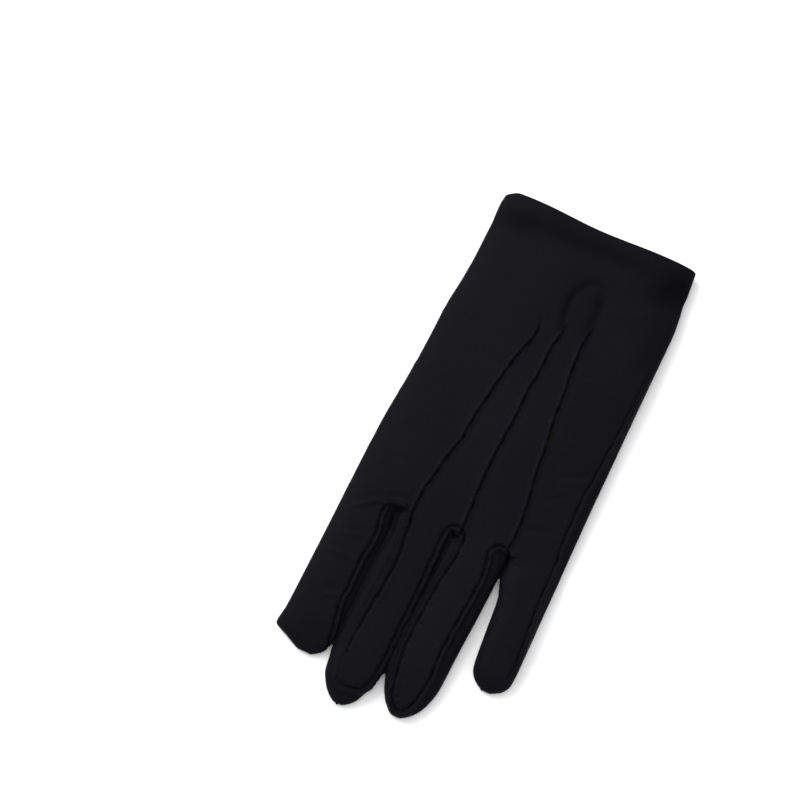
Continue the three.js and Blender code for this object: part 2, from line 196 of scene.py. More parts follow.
@dataclass
class Plan:
    """Points seen from above, sorted along Y so that those near a line are found quickly."""

    points: Array
    order: Array = field(init=False)
    rising: Array = field(init=False)

    def __post_init__(self) -> None:
        """Sorts the points along Y."""
        self.order = np.argsort(self.points[:, 1])
        self.rising = self.points[self.order, 1]

    def near(self, line: Line, reach: float) -> Near:
        """Finds the points near a line.

        Args:
            line: the line.
            reach: the farthest that counts.

        Returns:
            The points found.
        """
        best = np.full(len(self.points), np.inf)
        signed, along, strength = np.zeros((3, len(self.points)))
        rows = line.drawn()
        for a, b in zip(rows[:-1], rows[1:]):
            low, high = np.minimum(a, b)[:2] - reach, np.maximum(a, b)[:2] + reach
            first, last = np.searchsorted(self.rising, (low[1], high[1]))
            index = self.order[first:last]
            index = index[(self.points[index, 0] > low[0]) & (self.points[index, 0] < high[0])]
            leg, p = b[:2] - a[:2], self.points[index]
            t = np.clip(((p - a[:2]) @ leg) / (leg @ leg), 0, 1)
            off = p - a[:2] - t[:, None] * leg
            distance = np.hypot(off[:, 0], off[:, 1])
            nearer = distance < best[index]
            index, t, off, distance = index[nearer], t[nearer], off[nearer], distance[nearer]
            best[index] = distance
            signed[index] = np.where(leg[1] * off[:, 0] < leg[0] * off[:, 1], -distance, distance)
            along[index] = a[3] + t * (b[3] - a[3])
            strength[index] = a[2] + t * (b[2] - a[2])
        found = np.flatnonzero(best <= reach)
        return Near(found, signed[found], along[found], strength[found])


def spots(*rows: tuple[float, ...]) -> Line:
    """A line through rows of x, y and, where it isn't 1, strength."""
    return Line(tuple(Spot(*row) for row in rows))


def pillow(
    angle: Array, left: Array, right: Array, bottom: Array, top: Array, edge: Array
) -> tuple[Array, Array]:
    """The outline of soft cloth on a table, between two edges.

    Args:
        angle: round the outline, 0 at the top and rising to the right.
        left: X of the left edge.
        right: X of the right edge.
        bottom: Z of the underside.
        top: Z of the crown.
        edge: Z of the two edges.

    Returns:
        X and Z for each angle.
    """
    across, up = np.sin(angle), np.cos(angle)
    x = (left + right) / 2 + (right - left) / 2 * np.sign(across) * np.abs(across) ** CROWN
    rise = np.abs(up) ** CROWN
    below = np.maximum(bottom, edge - FLAT_BELOW * (edge - bottom) * rise)
    return x, np.where(up >= 0, edge + (top - edge) * rise, below)


def loft(bm: bmesh.types.BMesh, ring: Ring, around: int, along: int, closed: bool = False) -> None:
    """Adds a tube by rolling up a grid.

    Args:
        bm: the mesh that gets the tube.
        ring: gives points, in millimetres, from angles and shares along the tube.
        around: faces round the tube.
        along: faces along the tube.
        closed: whether the tube's end meets its start.
    """
    made = bmesh.ops.create_grid(bm, x_segments=around, y_segments=along, size=0.5)["verts"]
    shares = np.array([v.co for v in made]) + 0.5
    points = ring(shares[:, 0] * 2 * math.pi, shares[:, 1]) * MM
    for vert, point in zip(made, points):
        vert.co = point
    bmesh.ops.remove_doubles(bm, verts=made, dist=1e-7)
    if not closed:
        edges = [e for v in made if v.is_valid for e in v.link_edges if e.is_boundary]
        bmesh.ops.holes_fill(bm, edges=list(set(edges)), sides=0)
    bmesh.ops.recalc_face_normals(bm, faces=bm.faces)


def as_object(bm: bmesh.types.BMesh, name: str) -> bpy.types.Object:
    """Turns a bmesh into a smooth object of the scene.

    Args:
        bm: the mesh, which is freed.
        name: the object's name.

    Returns:
        The object, at the origin.
    """
    mesh = bpy.data.meshes.new(name)
    bm.to_mesh(mesh)
    bm.free()
    mesh.shade_smooth()
    made = bpy.data.objects.new(name, mesh)
    bpy.context.scene.collection.objects.link(made)
    return made


def modified(obj: bpy.types.Object, kind: str, **settings: Any) -> None:
    """Adds one modifier and applies it.

    Args:
        obj: the object.
        kind: the modifier's type.
        settings: the modifier's properties.
    """
    modifier = obj.modifiers.new(kind.lower(), kind)
    for key, value in settings.items():
        setattr(modifier, key, value)
    done = bpy.data.meshes.new_from_object(obj.evaluated_get(bpy.context.evaluated_depsgraph_get()))
    obj.modifiers.clear()
    old, obj.data = obj.data, done
    done.name = obj.name
    bpy.data.meshes.remove(old)


def triangles(obj: bpy.types.Object) -> int:
    """The number of triangles of an object's mesh."""
    obj.data.calc_loop_triangles()
    return len(obj.data.loop_triangles)


def rows(*values: tuple[float, float, float, float]) -> tuple[Outline, ...]:
    """Outline sections from rows of at, left, right and height."""
    return tuple(Outline(*row) for row in values)


@dataclass(frozen=True)
class Finger:
    """One finger: its outline in shares of its own sizes, and its seams as places on the back in millimetres."""

    name: str
    x: float
    width: float
    length: float
    outline: tuple[Outline, ...]
    left: tuple[tuple[float, ...], ...]
    tip: tuple[tuple[float, ...], ...]
    right: tuple[tuple[float, ...], ...]
    touches: tuple[bool, bool]

    def column(self, name: str, at: Array) -> Array:
        """One column of the outline at shares along the finger."""
        return eased(at, [row.at for row in self.outline], [getattr(row, name) for row in self.outline])

    def ring(self, angle: Array, share: Array) -> Array:
        """Points of the finger's skin, which starts inside the hand.

        Args:
            angle: round the finger.
            share: along the tube, 0 inside the hand and 1 at the tip.

        Returns:
            Rows of X, Y and Z in millimetres.
        """
        root, sides, sunk = 16.0, 4.0, 0.5
        y = FORK_Y + root - share ** 0.8 * (self.length + root)
        at = np.clip((FORK_Y - y) / self.length, 0, 1)
        inside = step(y, FORK_Y, FORK_Y + root)
        pressed = PRESSED * (1 - step(at, 0.72, 0.88))
        left = self.x + self.column("left", at) * self.width + inside * sides - pressed * self.touches[0]
        right = self.x + self.column("right", at) * self.width - inside * sides + pressed * self.touches[1]
        height = FINGER_HEIGHT * self.column("height", at) * (1 - inside * (1 - sunk))
        x, z = pillow(angle, left, right, 0 * height, height, EDGE_HEIGHT * height)
        return np.stack([x, y, z], axis=1)


FINGERS = (
    Finger(
        "index", ROOT_LEFT, 25.1, 74.5,
        outline=rows(
            (0, 0, 1, 0.99), (0.18, -0.004, 1, 1), (0.4, -0.016, 0.985, 1), (0.62, -0.03, 0.975, 0.96),
            (0.8, -0.046, 0.975, 0.86), (0.915, -0.09, 0.93, 0.68), (0.96, 0.17, 0.86, 0.52),
            (1, 0.42, 0.7, 0.34),
        ),
        left=(),
        tip=(),
        right=((-26.6, -101.5, 0.3), (-27.4, -98.0, 0.8), (-28.8, -90.3), (-30.4, -80.8), (-30.1, -72.8),
               (-30.3, -60.4),
               (-29.2, -51.0), (-29.9, -44.0), (-30.9, -37.2)),
        touches=(False, True),
    ),
    Finger(
        "middle", ROOT_LEFT + 25.7, 25.2, 88.6,
        outline=rows(
            (0, 0, 1, 1), (0.15, -0.015, 0.97, 1), (0.38, -0.024, 0.935, 0.98), (0.6, -0.024, 0.913, 0.95),
            (0.76, -0.024, 0.92, 0.88), (0.87, 0.004, 0.853, 0.76), (0.94, 0.123, 0.746, 0.6),
            (0.98, 0.25, 0.63, 0.44), (1, 0.36, 0.52, 0.34),
        ),
        left=((-17.8, -36.0, 0.6), (-17.3, -41.0), (-16.7, -46.0), (-15.7, -54.0), (-16.2, -66.2),
              (-17.2, -76.3),
              (-17.9, -85.2, 0.8), (-18.3, -92.5, 0.6), (-18.6, -99.5, 0.35)),
        tip=((-18.6, -104.0, 0.15), (-18.0, -109.0, 0.25), (-16.2, -112.6, 0.8), (-13.2, -113.4),
             (-10.2, -112.9),
             (-7.2, -111.8), (-4.9, -109.4), (-3.6, -105.2, 0.9)),
        right=((-2.8, -99.0, 0.8), (-2.6, -92.0), (-2.6, -79.0), (-2.5, -70.0), (-2.4, -59.0), (-2.6, -50.0),
               (-2.7, -42.0), (-2.9, -36.5)),
        touches=(True, True),
    ),
    Finger(
        "ring", ROOT_LEFT + 51.5, 25.5, 83.4,
        outline=rows(
            (0, 0, 1, 1), (0.15, -0.02, 0.99, 1), (0.36, -0.05, 0.96, 0.98), (0.6, -0.075, 0.915, 0.95),
            (0.78, -0.07, 0.89, 0.88), (0.88, 0.01, 0.81, 0.76), (0.94, 0.11, 0.71, 0.62),
            (0.98, 0.22, 0.58, 0.44), (1, 0.31, 0.48, 0.34),
        ),
        left=((6.9, -36.5), (6.8, -41.0), (6.3, -46.5), (4.9, -54.4), (3.9, -66.4), (3.4, -76.1),
              (3.2, -86.9),
              (4.2, -94.5), (5.4, -102.0)),
        tip=((6.4, -106.6), (8.3, -110.6), (11.4, -112.9), (14.2, -112.2), (16.3, -108.4), (17.6, -103.6)),
        right=((18.4, -98.6), (18.7, -94.0), (18.1, -84.6), (18.7, -71.9), (19.7, -59.9), (20.4, -47.0),
               (19.6, -40.0),
               (18.6, -35.2)),
        touches=(True, False),
    ),
    Finger(
        "little", ROOT_LEFT + 77.6, 23.8, 57.2,
        outline=rows(
            (0, 0, 1, 0.9), (0.16, 0.0, 1, 0.95), (0.33, 0.11, 1.002, 0.94), (0.6, 0.164, 1.008, 0.9),
            (0.8, 0.205, 1.004, 0.82), (0.88, 0.235, 0.992, 0.74), (0.95, 0.34, 0.9, 0.58),
            (1, 0.53, 0.7, 0.34),
        ),
        left=((27.4, -34.5, 0.5), (28.6, -38.5, 0.25), (31.0, -46.0, 0.15), (33.2, -53.0, 0.12),
              (34.3, -68.0, 0.12),
              (35.3, -79.0, 0.1)),
        tip=((36.2, -84.0, 0.1), (39.2, -87.2, 0.1), (43.6, -87.4, 0.1), (47.0, -84.6, 0.15)),
        right=((48.6, -81.5, 0.4), (49.2, -76.5, 0.8), (48.7, -65.4), (47.9, -55.3), (47.3, -43.2),
               (47.1, -30.6)),
        touches=(False, False),
    ),
)


@dataclass(frozen=True)
class Swell:
    """A broad soft rise of the back, or a hollow where its height is negative; shade is how much shade is painted into
    the cloth's colour over it.
    """

    x: float
    y: float
    across: float
    along: float
    height: float
    turn: float = 0.0
    shade: float = 0.0

    def shape(self, plan: Array) -> Array:
        """Its share at points of the plan, 1 in its middle."""
        c, s = math.cos(math.radians(self.turn)), math.sin(math.radians(self.turn))
        x, y = plan[:, 0] - self.x, plan[:, 1] - self.y
        return np.exp(-(((x * c + y * s) / self.across) ** 2 + ((y * c - x * s) / self.along) ** 2))


# Hollows along the cuff, sunk and with painted shade in the cloth's colour for the shade that falls where the cuff's
# edge slopes away from the light, and two soft rises without any.
CUFF_SWELLS = (
    Swell(-31.0, 108.5, 15.0, 5.6, -1.4, 6.0, 0.8),
    Swell(-8.0, 111.0, 14.0, 4.2, -0.7, -4.0, 0.45),
    Swell(16.0, 112.5, 18.0, 4.4, -0.9, -2.0, 0.6),
    Swell(42.5, 105.0, 8.0, 6.2, -1.5, 12.0, 1.0),
    Swell(46.0, 112.5, 7.0, 7.0, -0.6, 0.0, 0.85),
    Swell(2.0, 98.0, 13.0, 6.0, 0.8),
    Swell(36.0, 90.5, 9.0, 4.5, 0.6, 30.0),
)


def lie(points: Array) -> Array:
    """How the cloth lies, the same for every layer of it: hollows at the cuff, a dip in its edge and a soft sway.

    Args:
        points: rows of X, Y and Z in millimetres.

    Returns:
        The moved rows.
    """
    x, y, z = points.T
    near_cuff = step(y, 92, CUFF_Y)
    dip = 1.8 * bell(x - 4, 26) + 2.2 * step(-x, 37, 44)
    high = np.clip(z / HAND_HEIGHT, 0, 1)
    sway = (
        0.30 * np.sin(x / 9.5 + y / 31.0)
        + 0.22 * np.sin(x / 15.0 - y / 17.0 + 1.3)
        + 0.16 * np.sin(x / 6.1 + y / 11.0 + 0.4)
        + 0.14 * np.sin(y / 7.3 - x / 21.0 + 2.1)
    )
    hollows = sum(swell.height * swell.shape(points[:, :2]) for swell in CUFF_SWELLS)
    return np.stack([x, y - near_cuff * dip, z + (sway + hollows) * high ** 2], axis=1)


@dataclass(frozen=True)
class Hand:
    """The hand's part of the trank, from the forks (at 0) to the cuff's edge (at 1)."""

    outline: tuple[Outline, ...] = rows(
        (0, 0, 0, 0.77), (0.05, 0.02, 0.1, 0.84), (0.12, 0.06, 0.12, 0.9), (0.22, 0.14, 0.15, 0.95),
        (0.35, 0.38, 0.02, 1), (0.48, 0.55, -0.1, 1.02), (0.6, 0.62, -0.2, 1.02), (0.7, 0.85, -0.3, 1),
        (0.79, 0.97, -0.42, 0.98), (0.86, 0.985, 0.1, 0.975), (0.893, 1.0, 0.62, 0.97),
        (0.915, 0.98, 0.62, 0.97), (0.97, 0.94, 0.95, 0.975), (1, 1.02, 1.15, 0.965),
    )

    def column(self, name: str, at: Array) -> Array:
        """One column of the outline at shares from the forks to the cuff."""
        return eased(at, [row.at for row in self.outline], [getattr(row, name) for row in self.outline])

    def section(self, angle: Array, y: Array, inset: Array) -> Array:
        """Points of the hand's skin, or of a layer inside it.

        Args:
            angle: round the hand.
            y: along the hand.
            inset: how far inside the skin.

        Returns:
            Rows of X, Y and Z in millimetres.
        """
        at = np.clip((y - FORK_Y) / PALM, 0, 1)
        left = ROOT_LEFT + (CUFF_LEFT - ROOT_LEFT) * self.column("left", at)
        right = ROOT_RIGHT + (CUFF_RIGHT - ROOT_RIGHT) * self.column("right", at)
        height = HAND_HEIGHT * self.column("height", at)
        edge = EDGE_HEIGHT * height + 0.3 * inset
        x, z = pillow(angle, left + inset, right - inset, inset, height - inset, edge)
        return np.stack([x, y, z], axis=1)

    def ring(self, angle: Array, share: Array) -> Array:
        """Points of the hand's skin, from the forks to a little past the cuff's edge."""
        return self.section(angle, FORK_Y + share * (PALM + 3), 0 * share)

    def hem_ring(self, angle: Array, share: Array) -> Array:
        """Points of the cuff's turned-in edge, a flat ring of cloth with a rolled rim.

        Args:
            angle: round the cuff.
            share: round the ring's own section, which is closed.

        Returns:
            Rows of X, Y and Z in millimetres.
        """
        places = (0, 0.06, 0.12, 0.18, 0.25, 0.45, 0.55, 0.6, 0.65, 0.8, 0.95, 1)
        insets = (0.02, 0.1, 0.95, 1.75, 1.95, 1.95, 1.95, 1.5, 1.0, 1.0, 0.8, 0.02)
        backs = (0.7, 0.0, -0.55, 0.0, 0.8, 10.0, HEM_DEPTH - 0.6, HEM_DEPTH, HEM_DEPTH - 0.6, 8.0, 1.6, 0.7)
        inset, back = eased(share, places, insets), eased(share, places, backs)
        return lie(self.section(angle, CUFF_Y - back, inset))


# Seams, tucks, folds and dents
@dataclass(frozen=True)
class Ripple:
    """A rounded ridge that runs beside a line, or a groove where its height is negative.

    at is how far it lies on the line's right, and shade is how much shade is painted into the cloth's colour there.
    """

    height: float
    at: float = 0.0
    width: float = 0.5
    shade: float = 0.0


@dataclass(frozen=True)
class Relief:
    """How cloth rises and sinks beside a line, with the small gathers and the wandering of hand-fed sewing."""

    line: Line
    ripples: tuple[Ripple, ...]
    side: Side = Side.BACK
    gather: float = 0.0
    pitch: float = 4.2
    wander: float = 0.0

    def reach(self) -> float:
        """How far from the line the relief is felt."""
        gathered = 5.0 if self.gather else 0.0
        return max(gathered, *(abs(r.at) + 2.2 * r.width for r in self.ripples)) + self.wander

    def lift(self, plan: Plan, back: Array) -> tuple[Array, Array, Array]:
        """How far the skin moves along its normals.

        Args:
            plan: the skin's points seen from above.
            back: 1 for points on the back, 0 on the palm, and between the two at the edges.

        Returns:
            The indices of the points that move, how far they move in millimetres, and how much shade is painted into
            their colour.
        """
        near = plan.near(self.line, self.reach())
        turn = near.along * (2 * math.pi / self.pitch)
        aside = near.distance + self.wander * (np.sin(turn / 2.3) + 0.6 * np.sin(turn / 1.37 + 1.0))
        seen = back[near.index] if self.side is Side.BACK else 1.0
        firm = near.strength * seen * (1 + 0.16 * np.sin(turn / 1.9 + 0.7) + 0.12 * np.sin(turn / 3.1))
        moved = sum(r.height * bell(aside - r.at, r.width) for r in self.ripples)
        shade = sum(r.shade * bell(aside - r.at, r.width) for r in self.ripples)
        beside = bell(np.abs(near.distance) - 1.7, 1.3)
        gathers = self.gather * beside * np.sin(turn + 1.3 * np.sin(turn / 2.7) + 0.9 * np.sign(near.distance))
        return near.index, (moved + gathers) * firm, shade * firm


def fork(one: Finger, other: Finger) -> tuple[tuple[float, ...], ...]:
    """Places of a fourchette's seam round the fork between two fingers.

    Args:
        one: the finger on the index side.
        other: its neighbour.

    Returns:
        Places between the top of one's right seam and the top of the other's left seam.
    """
    (from_x, from_y), (to_x, to_y) = one.right[-1][:2], other.left[0][:2]
    rise = FORK_Y + 2.3 - (from_y + to_y) / 2
    hidden = 0.0 if one.name == "index" else 1.0
    return tuple(
        (
            from_x + (to_x - from_x) * (1 - math.cos(t * math.pi)) / 2,
            from_y + (to_y - from_y) * t + rise * math.sin(t * math.pi),
            hidden,
        )
        for t in (0.17, 0.34, 0.5, 0.66, 0.83)
    )


def ring_line(x: float, y: float, radius: float) -> Line:
    """A line round a circle."""
    turns = np.linspace(0, 2 * math.pi, 13)
    return spots(*((x + radius * math.cos(turn), y + radius * math.sin(turn)) for turn in turns))


def fourchette_area(one: Finger, other: Finger) -> Line:
    """The outline of a fourchette in the plan: up one finger, round the fork and down the next."""
    gap = other.x - 0.3
    start, end = (gap, one.right[0][1] + 1.0), (gap, other.left[-1][1] + 1.0)
    return spots(start, *one.right, *fork(one, other), *other.left, end)


def finger_seam() -> Line:
    """The one seam that runs round every finger's back panel, with its right on the outside of the panels."""
    index, middle, ring, little = FINGERS
    return spots(
        *index.right, *fork(index, middle), *middle.left, *middle.tip, *middle.right, *fork(middle, ring),
        *ring.left, *ring.tip, *ring.right, *fork(ring, little), *little.left, *little.tip,
    )


FOURCHETTES = tuple(fourchette_area(one, other) for one, other in zip(FINGERS[:-1], FINGERS[1:]))
FINGER_SEAM = finger_seam()
SIDE_SEAM = spots(
    *FINGERS[-1].right, (47.0, -27.0), (45.9, -17.3), (45.8, -7.4), (45.6, 1.3), (46.4, 12.5), (47.3, 26.0),
    (48.2, 40.1, 0.9), (49.0, 60.0, 0.5), (49.4, 75.0, 0.2), (49.2, 100.0, 0.1), (49.4, 122.0, 0.1),
)
TUCKS = (
    spots((-17.6, -37.8, 0.6), (-18.8, -33.0, 0.9), (-18.6, -23.6), (-16.8, -12.9), (-15.0, -2.1),
          (-12.9, 6.0),
          (-12.2, 17.1), (-10.5, 28.0), (-8.9, 38.9), (-6.5, 51.1), (-4.3, 58.4), (-3.2, 64.0, 0.8),
          (-3.4, 67.5, 0.2)),
    spots((4.1, -32.6, 0.5), (3.9, -30.2, 0.9), (3.7, -22.0), (3.1, -10.4), (3.0, 0.4), (3.6, 13.7),
          (4.3, 25.0),
          (4.3, 38.0), (5.5, 47.7), (5.5, 58.9), (7.1, 68.6, 0.8), (7.2, 71.5, 0.3)),
    spots((25.4, -30.0, 0.5), (26.0, -27.1, 0.9), (26.1, -21.2), (25.0, -8.0), (23.0, 4.9), (21.8, 18.2),
          (20.0, 31.2),
          (19.3, 43.1), (18.0, 54.6), (17.5, 66.6), (18.1, 72.5, 0.8), (18.4, 75.0, 0.3)),
)


@dataclass(frozen=True)
class Back:
    """Every seam, tuck, fold, wrinkle and hollow of the glove as it lies."""

    # The fourth number of a ripple is painted shade: darker colour in a seam's or tuck's groove and on the side of it
    # that is in shadow.
    seam_ripples: tuple[Ripple, ...] = (
        Ripple(-0.62, 0.0, 0.5, 0.65), Ripple(0.55, 1.45, 0.65), Ripple(0.18, -1.5, 1.1), Ripple(-0.25, 3.0, 1.0, 0.3),
    )
    tuck_ripples: tuple[Ripple, ...] = (
        Ripple(0.62, -0.85, 0.6), Ripple(-0.55, 0.2, 0.5, 0.8), Ripple(-0.28, 1.5, 1.2, 0.4),
    )

    def reliefs(self) -> tuple[Relief, ...]:
        """Seams, tucks, folds and wrinkles.

        Returns:
            The reliefs, each beside its line.
        """
        seams = (
            Relief(FINGER_SEAM, self.seam_ripples, Side.BOTH, gather=0.12, wander=0.1),
            Relief(SIDE_SEAM, self.seam_ripples, gather=0.12, wander=0.1),
        )
        tucks = tuple(Relief(line, self.tuck_ripples, gather=0.05, pitch=3.4, wander=0.09) for line in TUCKS)
        tips = tuple(
            Relief(spots(*finger.tip), (Ripple(0.25, 1.6, 0.7),), Side.BACK, gather=0.16, pitch=3.1)
            for finger in FINGERS[1:3]
        )
        knot = Relief(ring_line(2.3, -34.2, 1.9), (Ripple(0.65, 0.0, 0.5),))
        return (*seams, *tucks, *tips, knot, *self.tuck_ends(), *self.fork_fold(), *self.wrinkles())

    def tuck_ends(self) -> tuple[Relief, ...]:
        """The soft hollows that the tucks run out into, towards the cuff."""
        hollow = Ripple(-0.85, 0.0, 2.1, 0.65)
        return (
            Relief(spots((-3.6, 62.6, 0.5), (-3.6, 67.7, 0.7), (-5.6, 73.0, 0.1)),
                         (Ripple(-0.7, 0.4, 1.3, 0.25),)),
            Relief(spots((7.2, 68.6, 0.4), (6.0, 72.5), (4.7, 77.9), (4.1, 83.8), (5.8, 88.9, 0.7),
                         (9.7, 93.0, 0.1)),
                   (hollow,)),
            Relief(spots((18.2, 71.0, 0.4), (17.2, 77.4), (17.4, 84.0), (16.4, 89.3, 0.8), (16.0, 94.1, 0.4),
                         (17.8, 97.0, 0.1)), (Ripple(-0.85, 0.4, 2.8, 0.6),)),
            Relief(spots((5.6, 90.0, 0.3), (8.4, 93.6, 0.8), (12.5, 95.4, 0.6), (17.0, 96.2, 0.2)),
                   (Ripple(-0.5, 0.0, 1.6, 0.4),)),
        )

    def fork_fold(self) -> tuple[Relief, ...]:
        """The fold of spare cloth over the fork of index and middle finger, and the recess under it."""
        return (
            Relief(spots((-44.0, -41.4, 0.1), (-39.3, -38.2, 0.55), (-35.0, -35.2, 0.85), (-30.1, -33.3),
                         (-26.5, -32.1),
                         (-23.2, -31.6), (-21.0, -32.3, 0.2)),
                         (Ripple(1.25, 0.0, 1.2), Ripple(-0.3, -3.0, 1.6, 0.1))),
            Relief(spots((-31.2, -36.2, 0.2), (-29.0, -35.6), (-26.2, -35.0), (-23.6, -34.4),
                         (-22.2, -34.4, 0.2)),
                   (Ripple(-0.3, 0.0, 1.1, 0.1),)),
            Relief(spots((-26.0, -36.0, 0.6), (-24.6, -41.0), (-23.4, -46.0, 0.7), (-24.2, -54.0, 0.1)),
                   (Ripple(-0.8, 0.0, 1.3, 0.35),)),
        )

    def wrinkles(self) -> tuple[Relief, ...]:
        """Faint wrinkles across the index finger and both sides of the hand."""
        soft = (Ripple(0.42, 0.0, 1.3), Ripple(-0.3, -2.6, 1.5, 0.12))
        faint = (Ripple(-0.3, 0.0, 1.5, 0.1), Ripple(0.2, 2.6, 1.6))
        across = (
            (soft, ((-47.0, -63.4, 0.2), (-41.0, -62.6), (-34.4, -62.4, 0.2))),
            (soft, ((-38.4, -81.2, 0.1), (-35.6, -80.4), (-30.8, -78.8, 0.6))),
            (soft, ((-44.0, -54.0, 0.1), (-38.0, -53.0, 0.7), (-32.0, -51.5, 0.2))),
            (faint, ((26.5, 20.4, 0.3), (32.4, 22.2), (40.2, 22.9, 0.6))),
            (faint, ((31.0, 7.6, 0.3), (38.5, 10.7), (44.2, 13.9, 0.6))),
            (faint, ((30.6, -4.6, 0.2), (37.3, 0.7), (44.0, 5.0, 0.5))),
            (faint, ((29.0, -19.0, 0.2), (36.0, -16.0, 0.8), (44.0, -14.5, 0.4))),
            (faint, ((-46.0, 18.0, 0.5), (-38.0, 14.0, 0.8), (-28.0, 12.0, 0.1))),
            (faint, ((-46.0, 32.0, 0.5), (-36.0, 28.5, 0.7), (-24.0, 27.0, 0.1))),
            (faint, ((-45.0, 60.0, 0.4), (-36.0, 57.0, 0.7), (-20.0, 58.0, 0.1))),
            (faint, ((-47.0, -12.0, 0.4), (-38.0, -14.0, 0.7), (-26.0, -12.0, 0.1))),
            (faint, ((-14.0, -64.0, 0.1), (-9.0, -66.0, 0.6), (-4.0, -69.0, 0.3))),
            (faint, ((8.0, -88.0, 0.2), (12.0, -90.0, 0.6), (17.0, -89.0, 0.2))),
            (faint, ((34.0, -48.0, 0.3), (39.0, -50.5, 0.7), (45.0, -51.0, 0.3))),
            (faint, ((36.0, -63.0, 0.2), (41.0, -65.0, 0.6), (46.0, -64.0, 0.3))),
        )
        return tuple(Relief(spots(*places), ripples) for ripples, places in across)

    def swells(self) -> tuple[Swell, ...]:
        """Small rises and hollows, with painted shade in the hollows: a loop's hole, slack at the index finger's tip,
        and cloth drawn in at the seams.
        """
        return (
            Swell(2.3, -34.2, 0.9, 1.1, -0.8, 0.0, 0.5),
            Swell(-35.0, -96.0, 5.0, 4.0, -0.5, 0.0, 0.15),
            Swell(30.6, -33.8, 2.0, 1.1, 0.75),
            Swell(45.5, 76.0, 3.5, 11.0, -0.5, -3.0, 0.3),
        )


def inside(plan: Array, outline: Array) -> Array:
    """Whether points of the plan lie inside a closed outline."""
    x, y = plan[:, 0], plan[:, 1]
    within = np.zeros(len(plan), bool)
    for (ax, ay), (bx, by) in zip(outline, np.roll(outline, -1, axis=0)):
        if ay == by:
            continue
        crosses = (ay > y) != (by > y)
        within ^= crosses & (x < (bx - ax) * (y - ay) / (by - ay) + ax)
    return within


@dataclass(frozen=True)
class Thumb:
    """The thumb's tube, flat under the palm, and the room that the palm leaves over it."""

    x: float
    y: float
    width: float
    length: float
    height: float = 3.8
    skirt: float = 2.6
    hole_back: float = 16.5
    hole_width: float = 16.0
    hole_length: float = 25.0

    @classmethod
    def from_frame(cls) -> "Thumb":
        """The thumb where the frame has it."""
        low, high = (np.array(corner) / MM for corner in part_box("thumb"))
        return cls((low[0] + high[0]) / 2, high[1], high[0] - low[0], high[1] - low[1])

    def share_width(self, at: Array) -> Array:
        """The tube's width along it, as a share."""
        return eased(at, (0, 0.03, 0.08, 0.16, 0.36, 0.6, 0.78, 0.9, 0.96, 1),
                     (0.4, 0.74, 0.93, 1, 1, 0.93, 0.85, 0.7, 0.5, 0.26))

    def ring(self, angle: Array, share: Array) -> Array:
        """Points of the tube, from the back of its mouth to its tip."""
        half = self.share_width(share) * self.width / 2
        height = self.height * eased(share, (0, 0.08, 0.36, 0.9, 1), (0.6, 1, 1, 0.95, 0.6))
        x, z = pillow(angle, self.x - half, self.x + half, 0 * half, height, height / 2)
        return np.stack([x, self.y - share * self.length, z], axis=1)

    def ceiling(self, plan: Array) -> Array:
        """How high the palm lies above the table because of the thumb under it, at points of the plan."""
        at = (self.y - plan[:, 1]) / self.length
        half = self.share_width(np.clip(at, 0, 1)) * self.width / 2
        aside = np.abs(plan[:, 0] - self.x) - half
        past = np.maximum(-at, at - 1) * self.length
        out = np.hypot(np.maximum(aside, 0), np.maximum(past, 0))
        return (self.height + 0.3) * (1 - step(out, 0.2, self.skirt))

    def in_hole(self, plan: Array) -> Array:
        """Whether points of the plan lie in the hole that the thumb is sewn into."""
        across = (plan[:, 0] - self.x) / (self.hole_width / 2)
        along = (plan[:, 1] - self.y + self.hole_back) / (self.hole_length / 2)
        return across ** 2 + along ** 2 < 1

    def build(self) -> bpy.types.Object:
        """Makes the tube, open where it meets the palm.

        Returns:
            The thumb's object.
        """
        bm = bmesh.new()
        loft(bm, self.ring, 72, 110)
        gone = []
        for face in bm.faces:
            centre = np.array([face.calc_center_median()[:2]]) / MM
            if face.normal.z > 0 and self.in_hole(centre)[0]:
                gone.append(face)
        bmesh.ops.delete(bm, geom=gone, context="FACES")
        rim = [e for e in bm.edges if e.is_boundary]
        collar = bmesh.ops.extrude_edge_only(bm, edges=rim)["geom"]
        verts = [v for v in collar if isinstance(v, bmesh.types.BMVert)]
        bmesh.ops.translate(bm, verts=verts, vec=(0, 0, 0.7 * MM))
        bmesh.ops.smooth_vert(bm, verts=[v for v in bm.verts if v.co.z > 0.5 * MM], factor=0.3,
                              use_axis_x=True, use_axis_y=True, use_axis_z=False)
        thumb = as_object(bm, "thumb_cloth")
        modified(thumb, "SOLIDIFY", thickness=0.5 * MM, offset=-1.0)
        return thumb


HAND = Hand()
THUMB = Thumb.from_frame()


def read(mesh: bpy.types.Mesh, items: str, name: str, wide: int = 3) -> Array:
    """Reads one property of a mesh's vertices, edges, loops or faces.

    Args:
        mesh: the mesh.
        items: the name of its collection.
        name: the name of the property.
        wide: the numbers that each item has.

    Returns:
        One row for each item.
    """
    found = getattr(mesh, items)
    values = np.zeros(len(found) * wide, np.float32 if wide == 3 else np.int32)
    found.foreach_get(name, values)
    return values.reshape(-1, wide).astype(float if wide == 3 else int)


